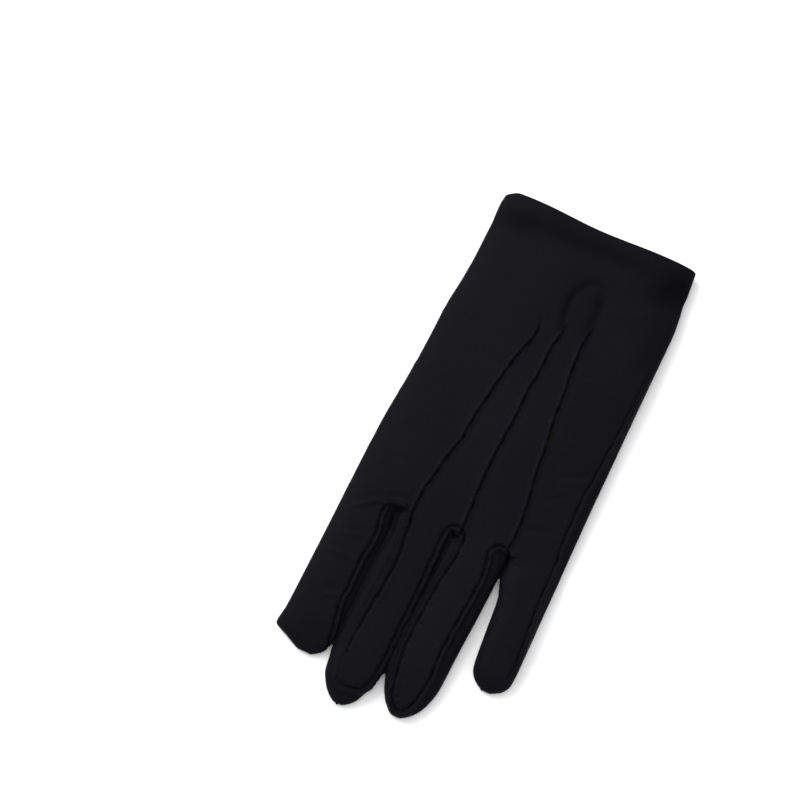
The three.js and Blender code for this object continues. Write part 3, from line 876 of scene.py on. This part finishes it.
@dataclass
class Skin:
    """The outer skin of trank and fourchettes: joined tubes, then seams, tucks, folds and wrinkles."""

    back: Back = Back()

    def joined(self) -> bpy.types.Object:
        """Joins the hand's tube and the fingers' into one skin, open at the cuff and finer beside its seams.

        Returns:
            The skin as one object.
        """
        bm = bmesh.new()
        loft(bm, HAND.ring, 120, 150)
        for finger in FINGERS:
            loft(bm, finger.ring, 64, 90)
        skin = as_object(bm, "skin")
        modified(skin, "REMESH", mode="VOXEL", voxel_size=VOXEL * MM)
        modified(skin, "SMOOTH", factor=0.5, iterations=8)
        self.soften_roots(skin)
        bm = bmesh.new()
        bm.from_mesh(skin.data)
        geom = [*bm.verts, *bm.edges, *bm.faces]
        bmesh.ops.bisect_plane(bm, geom=geom, plane_co=(0, CUFF_Y * MM, 0), plane_no=(0, 1, 0), clear_outer=True)
        bm.to_mesh(skin.data)
        bm.free()
        self.refine(skin)
        log.info("skin joined with %d triangles", triangles(skin))
        return skin

    def soften_roots(self, skin: bpy.types.Object) -> None:
        """Smooths away the sharp bend where the fingers' backs leave the hand's, but not the forks between them."""
        points = read(skin.data, "vertices", "co") / MM
        forks = [finger.x - 0.3 for finger in FINGERS[1:]]
        away = np.min([np.abs(points[:, 0] - x) for x in forks], axis=0)
        weight = bell(points[:, 1] - FORK_Y, 7.0) * step(points[:, 2], 4.0, 7.0) * step(away, 1.4, 4.4)
        group = skin.vertex_groups.new(name="roots")
        for level in range(1, 6):
            chosen = np.flatnonzero(np.round(weight * 5) == level)
            group.add(chosen.tolist(), level / 5, "REPLACE")
        modified(skin, "SMOOTH", factor=0.5, iterations=90, vertex_group="roots")

    def refine(self, skin: bpy.types.Object) -> None:
        """Makes the skin of the back twice as fine beside its seams, tucks and sharp folds."""
        points = read(skin.data, "vertices", "co") / MM
        ends = read(skin.data, "edges", "vertices", 2)
        middles = points[ends].mean(1)
        plan = Plan(middles[:, :2])
        chosen = np.zeros(len(middles), bool)
        for line in (FINGER_SEAM, SIDE_SEAM, *TUCKS):
            chosen[plan.near(line, FINE_BAND).index] = True
        chosen &= middles[:, 2] > 3.0
        bm = bmesh.new()
        bm.from_mesh(skin.data)
        bm.edges.ensure_lookup_table()
        fine = [bm.edges[i] for i in np.flatnonzero(chosen)]
        bmesh.ops.subdivide_edges(bm, edges=fine, cuts=1, use_grid_fill=True, smooth=0.0)
        bm.to_mesh(skin.data)
        bm.free()

    def shaped(self, skin: bpy.types.Object) -> Array:
        """Snaps the skin to the fourchettes' seams, presses it over the thumb, gives it its relief and stores the
        shade that is painted into its colour in grooves and hollows.

        Args:
            skin: the joined skin.

        Returns:
            For each face, 0 for the trank, or the fourchette's number from 1.
        """
        mesh = skin.data
        points = read(mesh, "vertices", "co") / MM
        normals = read(mesh, "vertices", "normal")
        centres = read(mesh, "polygons", "center")[:, :2] / MM

        owner = np.zeros(len(centres), int)
        for number, area in enumerate(FOURCHETTES, 1):
            owner[inside(centres, area.drawn()[:, :2])] = number
        sizes = read(mesh, "polygons", "loop_total", 1)[:, 0]
        loop_face = np.repeat(np.arange(len(centres)), sizes)
        loop_vert = read(mesh, "loops", "vertex_index", 1)[:, 0]
        least, most = np.full(len(points), 9), np.zeros(len(points), int)
        np.minimum.at(least, loop_vert, owner[loop_face])
        np.maximum.at(most, loop_vert, owner[loop_face])
        for index in np.flatnonzero(least != most):
            place = FOURCHETTES[most[index] - 1].nearest(points[index, :2])
            if np.hypot(*(place - points[index, :2])) < VOXEL:
                points[index, :2] = place

        upper = step(normals[:, 2], -0.35, 0.25)
        plan = Plan(points[:, :2].copy())
        lift, shade = np.zeros((2, len(points)))
        for relief in self.back.reliefs():
            found, moved, darker = relief.lift(plan, upper)
            lift[found] += moved
            shade[found] += darker
        for swell in self.back.swells():
            share = swell.shape(points[:, :2]) * upper
            lift += swell.height * share
            shade += swell.shade * share
        for swell in CUFF_SWELLS:
            shade += swell.shade * swell.shape(points[:, :2]) * upper
        points += normals * lift[:, None]
        over = THUMB.ceiling(points[:, :2])
        points[:, 2] = np.where(upper < 0.5, np.maximum(points[:, 2], over), points[:, 2])
        mesh.vertices.foreach_set("co", (lie(points) * MM).astype(np.float32).ravel())
        # Painted shade: how much darker each point's colour is painted, for the shade in grooves, folds, dents and the
        # cuff's hollows.
        painted_shade = mesh.attributes.new("painted_shade", "FLOAT", "POINT")
        painted_shade.data.foreach_set("value", np.clip(shade, 0, 1).astype(np.float32))
        mesh.update()
        return owner

    def cut(self, skin: bpy.types.Object, owner: Array, number: int, name: str, most: int) -> bpy.types.Object:
        """Cuts one piece of cloth out of the skin and gives it its thickness.

        Args:
            skin: the shaped skin.
            owner: the piece that each face belongs to.
            number: the piece to keep.
            name: its name.
            most: the triangles that it may have.

        Returns:
            The piece as an object of its own.
        """
        gone = owner != number
        if number == 0:
            centres = read(skin.data, "polygons", "center") / MM
            faced = read(skin.data, "polygons", "normal")[:, 2] < 0
            gone |= faced & (centres[:, 2] < 7) & THUMB.in_hole(centres[:, :2])
        bm = bmesh.new()
        bm.from_mesh(skin.data)
        bm.faces.ensure_lookup_table()
        bmesh.ops.delete(bm, geom=[bm.faces[i] for i in np.flatnonzero(gone)], context="FACES")
        piece = as_object(bm, name)
        group = piece.vertex_groups.new(name="inner")
        group.add(range(len(piece.data.vertices)), OUTER_WEIGHT, "REPLACE")
        modified(piece, "SOLIDIFY", thickness=WALL * MM, offset=-1.0, shell_vertex_group="inner")
        share = most / max(most, triangles(piece))
        modified(piece, "DECIMATE", ratio=share, vertex_group="inner", vertex_group_factor=INNER_FACTOR)
        return piece


@dataclass(frozen=True)
class Stitches:
    """Short bits of sewing thread that lie in the seams and beside the tucks."""

    radius: float = 0.13
    deep: float = 0.09  # how far a stitch sinks into the cloth
    tuck_pitch: float = 3.4
    tuck_length: float = 1.1
    tuck_aside: float = -1.5
    seam_pitch: float = 2.6
    seam_length: float = 1.0
    seam_aside: float = -0.15
    least_strength: float = 0.45  # of a line, below which it shows no stitch

    def row(self, bm: bmesh.types.BMesh, skin: bpy.types.Object, line: Line, pitch: float, long: float,
            aside: float) -> None:
        """Adds the stitches of one line.

        Args:
            bm: the mesh that gets them.
            skin: the skin that they lie on.
            line: the seam or tuck.
            pitch: from one stitch to the next.
            long: how long each is.
            aside: how far they lie on the line's right.
        """
        drawn = line.drawn()
        for at in np.arange(pitch / 2, drawn[-1, 3], pitch):
            x, y, strength = (float(np.interp(at, drawn[:, 3], drawn[:, i])) for i in range(3))
            if strength < self.least_strength:
                continue
            back, ahead = (np.array([np.interp(at + d, drawn[:, 3], drawn[:, i]) for i in (0, 1)]) for d in (-1, 1))
            way = Vector((*(ahead - back), 0)).normalized()
            right = Vector((way.y, -way.x, 0))
            above = (Vector((x, y, 0)) + right * aside) * MM + Vector((0, 0, 30 * MM))
            hit, place, normal, _ = skin.ray_cast(above, Vector((0, 0, -1)))
            if hit and normal.z > 0.2:
                self.stitch(bm, place, normal, way, long)

    def stitch(self, bm: bmesh.types.BMesh, place: Vector, normal: Vector, way: Vector, long: float) -> None:
        """Adds one stitch.

        Args:
            bm: the mesh that gets it.
            place: its middle, on the skin.
            normal: the skin's normal there.
            way: the direction of the line.
            long: its length.
        """
        along = (way - normal * way.dot(normal)).normalized()
        turned = Matrix((along, normal.cross(along), normal)).transposed().to_4x4()
        sized = Matrix.Diagonal((long / 2 * MM, self.radius * MM, self.radius * MM, 1))
        moved = Matrix.Translation(place - normal * self.deep * MM)
        bmesh.ops.create_uvsphere(bm, u_segments=6, v_segments=4, radius=1, matrix=moved @ turned @ sized)

    def build(self, skin: bpy.types.Object) -> bpy.types.Object:
        """Makes every stitch of the glove.

        Args:
            skin: the shaped skin.

        Returns:
            The stitches as one object.
        """
        bm = bmesh.new()
        for tuck in TUCKS:
            self.row(bm, skin, tuck, self.tuck_pitch, self.tuck_length, self.tuck_aside)
        for seam in (FINGER_SEAM, SIDE_SEAM):
            self.row(bm, skin, seam, self.seam_pitch, self.seam_length, self.seam_aside)
        return as_object(bm, "stitches")


# Finishes
def linear(code: str) -> tuple[float, float, float, float]:
    """Turns an sRGB hex colour into the linear colour that a shader takes."""
    parts = [int(code[i:i + 2], 16) / 255 for i in (1, 3, 5)]
    return (*[c / 12.92 if c <= 0.04045 else ((c + 0.055) / 1.055) ** 2.4 for c in parts], 1.0)


def node(tree: bpy.types.NodeTree, kind: str, inputs: dict[str, Any], **settings: Any) -> bpy.types.Node:
    """Adds one node to a tree.

    Args:
        tree: the node tree.
        kind: the node's type.
        inputs: a value, or another node's output, for each named input.
        settings: the node's own properties.

    Returns:
        The node.
    """
    made = tree.nodes.new(kind)
    for key, value in settings.items():
        setattr(made, key, value)
    for key, value in inputs.items():
        socket = made.inputs[int(key)] if key.isdigit() else made.inputs[key]
        if isinstance(value, bpy.types.NodeSocket):
            tree.links.new(value, socket)
        else:
            socket.default_value = value
    return made


@dataclass(frozen=True)
class KnitNylon:
    """Black nylon tricot, dyed in the piece: a smooth fine knit, nearly matt, with a faint violet-grey sheen."""

    name: str = "black_nylon_tricot"
    colour: str = "#0c0b0f"
    faded: str = "#100f14"
    painted_shade_colour: str = "#040406"  # painted shade: the colour that sewn grooves, deep folds, dents and the hollows by the cuff are darkened towards, for the shade that falls in them
    roughness: float = 0.6
    gloss: float = 0.026
    sheen: float = 0.008
    wale: float = 0.42  # millimetres between two ribs of the knit
    fuzz_size: float = 0.8  # millimetres across a tuft of the surface's fuzz
    cloud_size: float = 22.0  # millimetres across a patch that took the dye a little differently

    def build(self) -> bpy.types.Material:
        """Makes the material.

        Returns:
            The material, for trank, thumb or fourchettes.
        """
        material = bpy.data.materials.new(self.name)
        material.use_nodes = True
        tree = material.node_tree
        tree.nodes.clear()
        place = node(tree, "ShaderNodeTexCoord", {}).outputs["Object"]
        # The ribs of the knit run along the fingers, drawn a little coarser than the real 0.3 mm.
        ribs = node(tree, "ShaderNodeTexWave", {"Vector": place, "Scale": 0.5 / (self.wale * MM) / math.pi,
                                                "Distortion": 0.6, "Detail": 2.0, "Detail Scale": 2.0},
                    wave_type="BANDS", bands_direction="X", wave_profile="SIN")
        fuzz = node(tree, "ShaderNodeTexNoise", {"Vector": place, "Scale": 1 / (self.fuzz_size * MM), "Detail": 4.0,
                                                 "Roughness": 0.6})
        cloud = node(tree, "ShaderNodeTexNoise", {"Vector": place, "Scale": 1 / (self.cloud_size * MM), "Detail": 3.0,
                                                  "Roughness": 0.55})
        tone = node(tree, "ShaderNodeMix", {"Factor": cloud.outputs["Fac"], "6": linear(self.colour),
                                            "7": linear(self.faded)}, data_type="RGBA")
        # Painted shade: the cloth's colour is darkened in sewn grooves, deep folds, dents and the hollows by the cuff,
        # beyond the shade that their slope alone gives.
        painted_shade = node(tree, "ShaderNodeAttribute", {}, attribute_name="painted_shade")
        share = node(tree, "ShaderNodeMath", {"0": painted_shade.outputs["Fac"], "1": 0.8}, operation="MULTIPLY")
        dark = node(tree, "ShaderNodeMix", {"Factor": share.outputs[0], "6": tone.outputs["Result"],
                                            "7": linear(self.painted_shade_colour)}, data_type="RGBA")
        height = node(tree, "ShaderNodeMath", {"0": ribs.outputs["Fac"], "1": fuzz.outputs["Fac"]}, operation="ADD")
        bump = node(tree, "ShaderNodeBump", {"Strength": 0.35, "Distance": 0.06 * MM, "Height": height.outputs[0]})
        shader = node(tree, "ShaderNodeBsdfPrincipled", {
            "Base Color": dark.outputs["Result"], "Roughness": self.roughness, "Specular IOR Level": self.gloss,
            "Sheen Weight": self.sheen, "Sheen Roughness": 0.5, "Sheen Tint": linear("#8f8aa0"),
            "Normal": bump.outputs["Normal"],
        })
        node(tree, "ShaderNodeOutputMaterial", {"Surface": shader.outputs["BSDF"]})
        return material


@dataclass(frozen=True)
class Thread:
    """Black polyester sewing thread: a shade lighter and glossier than the cloth, so that stitches just show."""

    name: str = "black_polyester_thread"
    colour: str = "#131216"
    roughness: float = 0.5
    gloss: float = 0.12

    def build(self) -> bpy.types.Material:
        """Makes the material.

        Returns:
            The material of the stitches.
        """
        material = bpy.data.materials.new(self.name)
        material.use_nodes = True
        tree = material.node_tree
        tree.nodes.clear()
        shader = node(tree, "ShaderNodeBsdfPrincipled", {
            "Base Color": linear(self.colour), "Roughness": self.roughness, "Specular IOR Level": self.gloss,
        })
        node(tree, "ShaderNodeOutputMaterial", {"Surface": shader.outputs["BSDF"]})
        return material


@dataclass(frozen=True)
class Studio:
    """A pale floor, soft light from the left and above, and the camera at the photograph's angle."""

    azimuth: float = 25.2
    elevation: float = 75.0
    distance: float = 1.0
    lens: float = 101.26
    aim: tuple[float, float, float] = (-0.0462, 0.01265, 0.0)

    def floor(self) -> None:
        """Makes the pale floor."""
        bm = bmesh.new()
        bmesh.ops.create_grid(bm, x_segments=1, y_segments=1, size=3.0)
        floor = as_object(bm, "floor")
        material = bpy.data.materials.new("white_paper_sweep")
        material.use_nodes = True
        shader = material.node_tree.nodes["Principled BSDF"]
        shader.inputs["Base Color"].default_value = linear("#fbfbfb")
        shader.inputs["Roughness"].default_value = 0.9
        shader.inputs["Specular IOR Level"].default_value = 0.1
        floor.data.materials.append(material)

    def light(self, name: str, energy: float, size: float, place: tuple[float, float, float]) -> None:
        """Adds a square soft light that points at the glove.

        Args:
            name: the light's name.
            energy: watts.
            size: its side, in metres.
            place: where it hangs.
        """
        lamp = bpy.data.lights.new(name, "AREA")
        lamp.energy, lamp.size = energy, size
        holder = bpy.data.objects.new(name, lamp)
        holder.location = place
        holder.rotation_euler = (-Vector(place)).to_track_quat("-Z", "Y").to_euler()
        bpy.context.scene.collection.objects.link(holder)

    def camera(self) -> None:
        """Sets up the camera at the photograph's angle."""
        lens = bpy.data.cameras.new("camera")
        lens.lens, lens.sensor_width = self.lens, 36.0
        lens.clip_start, lens.clip_end = 0.05, 20.0
        holder = bpy.data.objects.new("camera", lens)
        a, e = math.radians(self.azimuth), math.radians(self.elevation)
        out = Vector((math.sin(a) * math.cos(e), -math.cos(a) * math.cos(e), math.sin(e)))
        holder.location = Vector(self.aim) + out * self.distance
        holder.rotation_euler = (-out).to_track_quat("-Z", "Y").to_euler()
        bpy.context.scene.collection.objects.link(holder)
        bpy.context.scene.camera = holder

    def build(self) -> None:
        """Makes the floor, the lights, the sky and the camera."""
        self.floor()
        self.light("key", 44.0, 1.5, (-1.6, 0.8, 1.45))
        self.light("top", 10.0, 1.8, (-0.2, 0.2, 2.2))
        world = bpy.data.worlds.new("studio")
        world.use_nodes = True
        world.node_tree.nodes["Background"].inputs["Color"].default_value = (1, 1, 1, 1)
        world.node_tree.nodes["Background"].inputs["Strength"].default_value = 0.85
        bpy.context.scene.world = world
        bpy.context.scene.view_settings.view_transform = "Standard"
        self.camera()


def finished(obj: bpy.types.Object, material: bpy.types.Material, slot: str, *nodes: str) -> None:
    """Gives a piece its material and ties it to the frame.

    Args:
        obj: the piece.
        material: its finish.
        slot: the record's material slot; not used.
        nodes: the CAD nodes that it stands for, if any.
    """
    obj.data.materials.clear()
    obj.data.materials.append(material)
    obj.data.shade_smooth()
    obj.data.set_sharp_from_angle(angle=SHARP_ANGLE)
    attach(obj, "root")
    if nodes:
        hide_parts(*nodes)
    log.info("%s: %d triangles", obj.name, triangles(obj))


def main() -> None:
    """Builds the glove and the studio around it, and reports each piece."""
    logging.basicConfig(level=logging.INFO, format="%(name)s: %(message)s")
    shape = Skin()
    skin = shape.joined()
    owner = shape.shaped(skin)
    trank = shape.cut(skin, owner, 0, "trank_cloth", TRANK_TRIANGLES)
    bm = bmesh.new()
    bm.from_mesh(trank.data)
    loft(bm, HAND.hem_ring, 160, 60, closed=True)
    bm.to_mesh(trank.data)
    bm.free()
    cloth = KnitNylon().build()
    gusset = KnitNylon("black_nylon_gusset", "#0b0a0e", "#0e0d12").build()
    finished(trank, cloth, "glove_cloth", "trank")
    for number, (one, other) in enumerate(zip(FINGERS[:-1], FINGERS[1:]), 1):
        name = f"fourchette_{one.name}_{other.name}"
        cloth_piece = shape.cut(skin, owner, number, f"{name}_cloth", FOURCHETTE_TRIANGLES)
        finished(cloth_piece, gusset, "gusset_cloth", name)
    finished(Stitches().build(skin), Thread().build(), "glove_cloth")
    bpy.data.objects.remove(skin)
    finished(THUMB.build(), cloth, "glove_cloth", "thumb")
    Studio().build()


if __name__ == "__main__":
    main()
